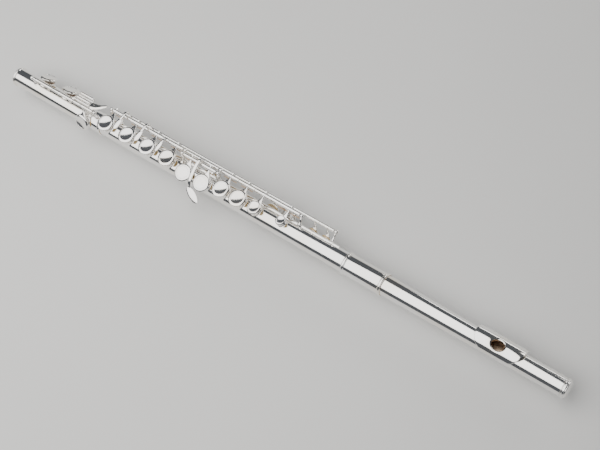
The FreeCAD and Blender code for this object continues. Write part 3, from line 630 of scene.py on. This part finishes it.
def trill_touch(x):
    """The builder of a trill touch at x: a strap that bends over the main rod to a narrow leaf."""
    def build(shape, rod):
        path = [rod, (rod[0] + 2.4, 12.7), (19.4, 16.6), (13.0, 17.7), (7.0, 17.9)]
        strap(shape, path, x, lambda t: 0.9 + 0.5 * t, lambda t: 0.75 - 0.2 * t)
        outline = [(x - 1.6, 5.0), (x + 1.6, 5.0), (x + 2.9, 0.0), (x + 2.0, -5.0), (x, -6.8),
                   (x - 2.0, -5.0), (x - 2.9, 0.0)]
        leaf(shape, outline, 5.6, 18.0, deg(-2), 1.0, 0.3)
        add_knuckle(shape, x, rod, TRILL_TUBE_R + TRILL_KNUCKLE_PROUD, 3.4)
    return build


def side_touch(shape, rod):
    """The short touch of the B flat side lever."""
    path = [rod, (14.6, 16.4), (11.0, 17.5), (7.0, 17.7)]
    strap(shape, path, SIDE_X, lambda t: 1.3, lambda t: 0.8 - 0.2 * t)
    outline = [(205.4, 5.0), (208.4, 5.0), (209.2, 0.0), (207.6, -5.0), (205.9, -5.0), (204.6, 0.0)]
    leaf(shape, outline, 5.6, 17.7, deg(-2), 1.0, 0.3)


def thumb_touch(x, outline):
    """The builder of a thumb touch: a strap that curls under the tube to a hollowed leaf."""
    def build(shape, rod):
        path = [rod, (19.6, -3.4), (17.6, -9.0), (14.0, -14.4)]
        strap(shape, path, x, lambda t: 2.0 + 0.6 * t, lambda t: 0.85 - 0.25 * t)
        leaf(shape, outline, 11.6, -16.05, deg(31), 1.0, -0.3)
    return build


def e_flat_touch(shape, rod):
    """The little finger's touch beside the rollers, drawn out to a point."""
    strap(shape, [rod, (5.4, 20.9), (9.6, 20.6)], E_FLAT_X, lambda t: 2.4, lambda t: 0.8 - 0.2 * t)
    outline = [(113.0, -4.3), (119.5, -4.6), (124.5, -1.6), (129.4, 3.3), (130.6, 5.6), (128.6, 6.0),
               (122.0, 3.0), (113.2, 0.8)]
    leaf(shape, outline, 9.6, 20.4, deg(-11), 1.0, 0.35)


def roller_fork(shape, rod, path, arm_x, centre, ear_from):
    """The bracket that carries a roller: an arm from the hinge tube, a rail and two ears."""
    strap(shape, [rod] + path, arm_x, lambda t: 1.7, lambda t: 0.75)
    y, z = ear_from
    shape.skin([[(x, y + a, z + b) for a, b in round_bar(0.75, 0.65)]
                for x in (ROLLER_EARS[0] - 0.5, ROLLER_EARS[1] + 0.5)])
    halfway = ((y + centre[0]) / 2, (z + centre[1]) / 2)
    for x in ROLLER_EARS:
        strap(shape, [ear_from, halfway, centre], x, lambda t: 0.5, lambda t: 0.8 + 0.2 * t)


def c_sharp_fork(shape, rod):
    roller_fork(shape, rod, [(5.0, 21.0), (6.0, 20.9)], 90.6, (8.9, 20.9), (5.8, 20.9))


def c_fork(shape, rod):
    roller_fork(shape, rod, [(4.2, 17.1), (8.0, 16.4), (11.8, 16.9)], 97.8, (14.6, 18.4), (11.9, 17.2))


def roller(node):
    """A little-finger roller: a drum with rounded shoulders on its pin."""
    low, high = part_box(node)
    radius = (high.z - low.z) / 2 / MM
    wide = (high.x - low.x) / MM
    profile = rounded([(0, ROLLER_BORE), (0, radius * 0.8), (0.8, radius), (wide - 0.8, radius),
                       (wide, radius * 0.8), (wide, ROLLER_BORE)], 0.5, closed=True)
    centre = (low + high) / 2 / MM
    shape = Shape()
    shape.lathe(profile, along_x(low.x / MM, centre.y, centre.z), ROLLER_STEPS, closed=True)
    shape.piece(node + "_drum", node, "key_silver", KEY, node)


def make_keys():
    """Every key, with its own touch or fork, and the two rollers."""
    thumb_b = [(345.8, -6.6), (352.0, -6.8), (353.0, 0.0), (352.0, 6.8), (345.8, 6.6)]
    thumb_b_flat = [(354.3, -6.8), (361.0, -6.0), (362.6, 0.0), (361.0, 6.0), (354.3, 6.8)]
    extras = {
        "g_sharp_key": [g_sharp_lever],
        "d_sharp_trill_key": [trill_touch(D_SHARP_TRILL_X)],
        "d_trill_key": [trill_touch(D_TRILL_X)],
        "side_lever": [side_touch],
        "thumb_b_key": [thumb_touch(THUMB_B_X, thumb_b)],
        "thumb_b_flat_lever": [thumb_touch(THUMB_B_FLAT_X, thumb_b_flat)],
        "e_flat_key": [e_flat_touch],
        "c_sharp_key": [c_sharp_fork],
        "c_foot_key": [c_fork],
    }
    for node in KEYS:
        make_key(node, extras.get(node, ()))
    roller("c_sharp_roller")
    roller("c_roller")


# ---------------------------------------------------------------- tubes
def chimney(shape, size, x, angle):
    """A drawn tone hole: the tube's metal flares up into a wall with a rolled bead."""
    outer = CUP_R[size] - RIM_INSET + 0.2
    inner = outer - CHIMNEY_WALL
    bead = CUP_R[size] - RIM_INSET
    frame_here = Matrix.Translation((x, 0, 0)) @ Matrix.Rotation(-angle, 4, "X")

    ways = [(math.cos(TAU * k / HOLE_STEPS), math.sin(TAU * k / HOLE_STEPS)) for k in range(HOLE_STEPS)]

    def on_tube(radius, lift, c, s):
        y = radius * s
        return (radius * c, y, math.sqrt(max(TUBE_R ** 2 - y * y, 1.0)) + lift)

    rings = [[on_tube(outer + reach, lift, c, s) for c, s in ways]
             for reach, lift in ((1.1, -0.06), (0.75, 0.03), (0.4, 0.16), (0.15, 0.42))]
    profile = [(RIM_TOP - 0.75, outer)]
    profile += [(RIM_TOP - RIM_BEAD + RIM_BEAD * math.sin(a), bead + RIM_BEAD * math.cos(a))
                for a in deg(*range(-60, 181, 30))]
    profile += [(RIM_TOP - 0.8, inner), (TUBE_R - 0.6, inner)]
    rings += [[(radius * c, radius * s, z) for c, s in ways] for z, radius in profile]
    shape.skin(rings, frame_here, caps=False)
    return frame_here, inner


def tube_with_holes(name, node, body, profile, holes):
    """A tube with its drawn tone holes."""
    tube = Shape()
    tube.lathe(profile, along_x(0), TUBE_STEPS, closed=True)
    metal = tube.piece(name, body, "tube_silver", TUBE, node)
    collars = Shape()
    cutters = []
    for i, (size, x, angle) in enumerate(holes):
        frame_here, inner = chimney(collars, size, x, angle)
        cutters.append(cutter(f"{name}_hole_{i}", inner + 0.02, frame_here))
    cut_with(metal, cutters)
    collars.piece(name + "_tone_holes", body, "tube_silver", TUBE, sharp=50)


def holes_of(nodes):
    """The tone holes under the cups of some keys, as (size, x, angle)."""
    found = []
    for node in nodes:
        for pad, size, angle, which in CUPS.get(node, ()):
            found.append((size, pad_place(pad, size, which), angle))
    return found


def make_tubes():
    """The tubes of the body, the foot and the head, and the barrel and rings."""
    low, high = span_of("body_tube")
    profile = rounded([(low, BORE_R), (low, TUBE_R), (high, TUBE_R), (high, BORE_R)], 0.12, closed=True)
    tube_with_holes("body_tube_metal", "body_tube", "body_joint", profile,
                    holes_of(node for node in CUPS if node not in FOOT_KEYS))
    low, high = span_of("foot_tube")
    shoulder = high - SOCKET_DEPTH
    profile = [(low, BORE_R), (low, TUBE_R), (shoulder - 1, TUBE_R), (shoulder, SOCKET_R), (high, SOCKET_R),
               (high, SOCKET_BORE_R), (shoulder, SOCKET_BORE_R), (shoulder, BORE_R)]
    tube_with_holes("foot_tube_metal", "foot_tube", "foot_joint", rounded(profile, 0.15, closed=True),
                    holes_of(FOOT_KEYS))
    head_tube()
    barrel_and_rings()


def head_tube():
    """The head joint's tube, which narrows toward the crown, with its mouth hole."""
    low, high = span_of("headjoint_tube")
    start, end = HEAD_TAPER
    outside = [(low, TUBE_R), (start, TUBE_R)]
    inside = [(high, HEAD_BORE_R), (end, HEAD_BORE_R)]
    steps = 12
    for k in range(1, steps + 1):
        t = k / steps
        outside.append((start + (end - start) * t, TUBE_R + (HEAD_R - TUBE_R) * t))
        inside.append((end + (start - end) * t, HEAD_BORE_R + (BORE_R - HEAD_BORE_R) * t))
    profile = outside + [(high, HEAD_R)] + inside + [(low, BORE_R)]
    shape = Shape()
    shape.lathe(profile, along_x(0), TUBE_STEPS, closed=True)
    tube = shape.piece("headjoint_metal", "head_joint", "tube_silver", TUBE, "headjoint_tube")
    hole = cutter("mouth_cutter", MOUTH[0], mouth_frame(), MOUTH[1] / MOUTH[0])
    cut_with(tube, [hole])


def band(shape, start, wide, inner, top, lip=0.5):
    """A turned ring with a rounded crown between two fine steps."""
    end, ledge = start + wide, top - lip
    profile = [(start, inner), (start, ledge - 0.35), (start + 0.35, ledge), (start + 0.5, ledge)]
    steps = 10
    for k in range(steps + 1):
        t = k / steps
        profile.append((start + 0.6 + (wide - 1.2) * t, ledge + lip * math.sin(math.pi * t) ** 0.6))
    profile += [(end - 0.5, ledge), (end - 0.35, ledge), (end, ledge - 0.35), (end, inner)]
    shape.lathe(profile, along_x(0), RING_STEPS, closed=True)


def barrel_and_rings():
    """The barrel with its two rings, and the foot's end ring and socket ring."""
    low, high = span_of("barrel")
    body_end = span_of("body_tube")[1]
    profile = rounded([(low, TUBE_R), (low, SOCKET_R), (high, SOCKET_R), (high, SOCKET_BORE_R),
                       (body_end, SOCKET_BORE_R), (body_end, TUBE_R)], 0.12, closed=True)
    barrel = Shape()
    barrel.lathe(profile, along_x(0), TUBE_STEPS, closed=True)
    barrel.piece("barrel_metal", "body_joint", "tube_silver", TUBE, "barrel")
    low, high = span_of("barrel_rings")
    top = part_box("barrel_rings")[1].z / MM
    rings = Shape()
    band(rings, low, 3.6, SOCKET_R - 0.05, top)
    band(rings, high - 3.6, 3.6, SOCKET_R - 0.05, top)
    rings.piece("barrel_bands", "body_joint", "fitting_silver", FITTING, "barrel_rings")
    low, high = span_of("foot_rings")
    rings = Shape()
    band(rings, low, 3.0, TUBE_R - 0.05, SOCKET_R + 0.3, 0.4)
    band(rings, high - 3.4, 3.4, SOCKET_R - 0.05, top - 0.1)
    rings.piece("foot_bands", "foot_joint", "fitting_silver", FITTING, "foot_rings")


def mouth_frame():
    """The embouchure's own frame: X along the flute, Z out through the hole."""
    low, high = span_of("lip_plate")
    return Matrix.Translation(((low + high) / 2, 0, 0)) @ Matrix.Rotation(deg(MOUTH_TURN), 4, "X")


def lip_plate():
    """A saddle of sheet silver round the mouth hole, with a rolled edge; it stands clear of the tube."""
    low, high = span_of("lip_plate")
    half = (high - low) / 2 - 0.1
    # One side of the outline, as (in from the plate's end, across the flute).
    side = [(1.3, 11.7), (0.2, 10.3), (0.0, 4.0), (1.7, -1.7), (3.2, -4.8), (5.6, -7.8), (8.6, -10.0),
            (13.0, -11.3)]
    outline = [(half - inset, y) for inset, y in side] + [(0, -11.4)]
    outline += [(inset - half, y) for inset, y in reversed(side)] + [(0, 11.9)]
    edge = smooth_loop([(x, y, 0) for x, y in outline], 8)
    long_r, wide_r = MOUTH
    angles = [math.atan2(p.y / wide_r, p.x / long_r) for p in edge]
    mouth = [Vector((long_r * math.cos(a), wide_r * math.sin(a), 0)) for a in angles]

    def lay(spot, drop, grow=1.0):
        """A flat point, grown about the hole, laid on the saddle and sunk by drop."""
        x, y = spot.x * grow, spot.y * grow
        sag = 1.3 * max(0, -y / 11.4) ** 2 + 0.35 * (abs(x) / half) ** 6
        radius = PLATE_R - sag - drop
        return x, y * radius / PLATE_R, math.sqrt(radius ** 2 - (y * radius / PLATE_R) ** 2)

    # Rows from the hole's lip out over the top, round the edge, and back underneath.
    lip = ((0.78, 1.0), (0.55, 1.02), (0.33, 1.06), (0.16, 1.11), (0.05, 1.16), (0.0, 1.22))
    roll = ((0.08, 0.995), (0.25, 1.004), (0.55, 1.004), (PLATE_THICK - 0.05, 0.993))
    top_rows, under_rows = 12, 5
    rings = [[lay(m, drop, grow) for m in mouth] for drop, grow in lip]
    for k in range(1, top_rows + 1):
        t = (k / top_rows) ** 0.8
        rings.append([lay((m * 1.22).lerp(e * 0.985, t), 0.0) for m, e in zip(mouth, edge)])
    rings += [[lay(e, drop, grow) for e in edge] for drop, grow in roll]
    for k in range(under_rows, -1, -1):
        rings.append([lay(m.lerp(e * 0.98, k / under_rows), PLATE_THICK) for m, e in zip(mouth, edge)])
    shape = Shape()
    shape.skin(rings, mouth_frame(), closed=True)
    shape.piece("lip_plate_metal", "head_joint", "fitting_silver", FITTING, "lip_plate", sharp=50)


def riser():
    """The oval chimney between tube and plate."""
    top = PLATE_R - PLATE_THICK - 0.02
    long_r, wide_r = MOUTH
    rings = []
    for grow, radius, sink in ((0.0, top, 0.0), (RISER_WALL, top, 0.0), (RISER_WALL, HEAD_R, 0.1),
                               (0.0, HEAD_R, 0.1)):
        ring = []
        for k in range(HOLE_STEPS):
            x = (long_r + grow) * math.cos(TAU * k / HOLE_STEPS)
            y = (wide_r + grow) * math.sin(TAU * k / HOLE_STEPS)
            ring.append((x, y, math.sqrt(radius ** 2 - y * y) - sink))
        rings.append(ring)
    shape = Shape()
    shape.skin(rings, mouth_frame(), closed=True)
    shape.piece("riser_metal", "head_joint", "fitting_silver", INSIDE, "embouchure_riser")


def crown():
    """The crown: a fine bead, a groove and a proud rim round a low dome."""
    low, high = span_of("crown")
    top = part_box("crown")[1].z / MM
    face = span_of("headjoint_tube")[1] + CROWN_GAP
    inner = HEAD_BORE_R - 0.06
    plug = [(high - CROWN_WALL, ROD_HOLE_R), (low, ROD_HOLE_R), (low, inner), (face, inner),
            (face, top - 0.45)]
    bead = [(face + 0.4 - 0.4 * math.cos(a), top - 0.5 + 0.28 * math.sin(a))
            for a in deg(*range(20, 180, 20))]
    groove = [(face + 0.85, top - 1.15), (face + 1.4, top - 1.15)]
    rim = [(face + 2.4 - 0.95 * math.cos(a), top - 0.45 + 0.45 * math.sin(a))
           for a in deg(*range(0, 190, 15))]
    shoulder = face + 3.6
    step = [(shoulder - 0.2, top - 1.15), (shoulder, top - 1.2)]
    reach, rise = high - shoulder, top - 1.1
    dome = [(shoulder + reach * math.sin(a), rise * math.cos(a) ** 0.8) for a in deg(*range(4, 89, 6))]
    shape = Shape()
    shape.lathe(plug + bead + groove + rim + step + dome + [(high, 0.1)], along_x(0), RING_STEPS)
    shape.piece("crown_metal", "crown", "fitting_silver", FITTING, "crown", sharp=50)


# ---------------------------------------------------------------- posts
def islands(node):
    """The separate solids of a CAD node, each as a list of points in mm."""
    work = bmesh.new()
    work.from_mesh(frame["nodes"][node].data)
    bmesh.ops.remove_doubles(work, verts=work.verts, dist=1e-6)
    seen, found = set(), []
    for start in work.verts:
        if start in seen:
            continue
        seen.add(start)
        stack, group = [start], []
        while stack:
            vert = stack.pop()
            group.append(vert.co / MM)
            for edge in vert.link_edges:
                other = edge.other_vert(vert)
                if other not in seen:
                    seen.add(other)
                    stack.append(other)
        found.append(group)
    work.free()
    return sorted(found, key=lambda group: min(p.x for p in group))


def posts(node, body, name):
    """Turned posts: a flared saddle, a slender waisted stem with a bead, and a ball for the rod."""
    lines = [rod_of(key) for key in KEYS]
    shape = Shape()
    for group in islands(node):
        x = (min(p.x for p in group) + max(p.x for p in group)) / 2
        # The ball sits on the key line nearest the CAD post's farthest point.
        tip = max(group, key=lambda p: math.hypot(p.y, p.z))
        ball = min(lines, key=lambda line: math.hypot(line[0] - tip.y, line[1] - tip.z))
        floor = min(math.hypot(p.y, p.z) for p in group)
        low = [p for p in group if math.hypot(p.y, p.z) < floor + 0.4]
        a = math.atan2(sum(p.y for p in low), sum(p.z for p in low))
        base = (x, floor * math.sin(a), floor * math.cos(a))
        run = (Vector((x, *ball)) - Vector(base)).length
        profile = [(-0.5, POST_BASE_R), (0.35, POST_BASE_R - 0.05), (0.8, POST_BASE_R * 0.75),
                   (1.5, POST_R + 0.25), (2.4, POST_R), (run * 0.5, POST_R * 0.82),
                   (run - 3.2, POST_R * 0.95), (run - 2.7, POST_R + 0.35), (run - 2.3, POST_R + 0.3),
                   (run - 2.0, POST_R)]
        profile += [(run - BALL_R * math.cos(b), BALL_R * math.sin(b))
                    for b in (math.pi * k / 14 for k in range(4, 14))]
        shape.lathe(profile, upright(base, (x, *ball)), ROD_STEPS)
    shape.piece(name, body, "key_silver", KEY, node, sharp=45)


# ---------------------------------------------------------------- what stays as CAD meshes
def finish_cad():
    """Gives each CAD node that is still shown the material of its slot."""
    finishes = {"steel": STEEL, "spring_bronze": BRONZE, "brass": BRASS, "cork": CORK, "key_silver": KEY,
                "tube_silver": TUBE, "fitting_silver": FITTING, "pad_skin": PAD}
    for row in frame["record"]["subparts"]:
        kept = frame["nodes"][row["node"]]
        if kept.hide_render:
            continue
        for slot_here in kept.material_slots:
            slot_here.material = finishes[row["material_slot"]]


# ---------------------------------------------------------------- studio
def plain(name, colour, rough):
    """A matt surface with a barely uneven tone."""
    made, nodes, links, shader = material(name, colour, 0.0, rough)
    grain = object_noise(nodes, links, 3.0, 3)
    low, high = tuple(c * 0.97 for c in colour), colour
    links.new(ramp(nodes, links, grain, low, high), shader.inputs["Base Color"])
    return made


def studio():
    """A pale floor, a large soft box overhead, two slim ones behind, and a dim grey room."""
    low, high = CAD_BOX
    centre = (low + high) / 2
    z = low.z - FLOOR_GAP
    corners = [(centre.x + x * FLOOR_HALF, centre.y + y * FLOOR_HALF, z)
               for x, y in ((-1, -1), (1, -1), (1, 1), (-1, 1))]
    mesh = bpy.data.meshes.new("floor")
    mesh.from_pydata(corners, [], [(0, 1, 2, 3)])
    floor = bpy.data.objects.new("floor", mesh)
    bpy.context.collection.objects.link(floor)
    mesh.materials.append(plain("pale_floor", FLOOR_COLOUR, FLOOR_ROUGH))
    world = bpy.data.worlds.new("room")
    bpy.context.scene.world = world
    world.use_nodes = True
    world.node_tree.nodes["Background"].inputs["Color"].default_value = ROOM_COLOUR
    world.node_tree.nodes["Background"].inputs["Strength"].default_value = ROOM_STRENGTH
    soft_box("key_light", centre + Vector((-0.74, -0.49, 0.9)), None, (2.5, 1.6), 33, turn=deg(27))
    soft_box("crown_light", centre + Vector((0.62, 1.6, 0.7)), centre, (1.25, 0.5), 6)
    soft_box("low_light", centre + Vector((0.2, 1.5, 0.08)), centre, (0.95, 0.14), 1.5)


def soft_box(name, place, target, size, power, turn=0.0):
    """A rectangular light facing its target, or straight down where it has none."""
    light = bpy.data.lights.new(name, "AREA")
    light.shape = "RECTANGLE"
    light.size, light.size_y = size
    light.energy = power
    light.color = LAMP_COLOUR
    made = bpy.data.objects.new(name, light)
    made.location = place
    if target:
        made.rotation_euler = (target - place).to_track_quat("-Z", "Y").to_euler()
    else:
        made.rotation_euler = (0, 0, turn)
    bpy.context.collection.objects.link(made)
    made.visible_camera = False


def camera():
    """Over the keys from beyond the crown end, with the flute running down to the right."""
    tilt, roll, slant = deg(VIEW_TILT, VIEW_ROLL, VIEW_SLANT)
    down_right = Vector((math.cos(slant), -math.sin(slant), 0))
    down_left = Vector((-math.sin(slant), -math.cos(slant), 0))
    line = down_right + down_left * VIEW_BEND
    to_viewer = Vector((0, 0, 1))
    along = (line * math.cos(tilt) + to_viewer * math.sin(tilt)).normalized()
    facing = to_viewer * math.cos(tilt) - line * math.sin(tilt)
    across = -down_left * math.cos(roll) - facing * math.sin(roll)
    up = facing * math.cos(roll) - down_left * math.sin(roll)
    turn = Matrix((along, across, up))
    offset = -(down_right * VIEW_RIGHT + down_left * VIEW_DOWN) + to_viewer * VIEW_AWAY
    view = bpy.data.cameras.new("view")
    view.lens, view.sensor_width = LENS, SENSOR
    view.clip_start, view.clip_end = 0.05, 50
    made = bpy.data.objects.new("view", view)
    made.matrix_world = Matrix.Translation(turn @ offset * MM) @ turn.to_4x4()
    bpy.context.collection.objects.link(made)
    bpy.context.scene.camera = made


make_keys()
make_tubes()
lip_plate()
riser()
crown()
posts("body_posts", "body_joint", "body_post_metal")
posts("foot_posts", "foot_joint", "foot_post_metal")
finish_cad()
studio()
camera()

bpy.context.view_layer.update()
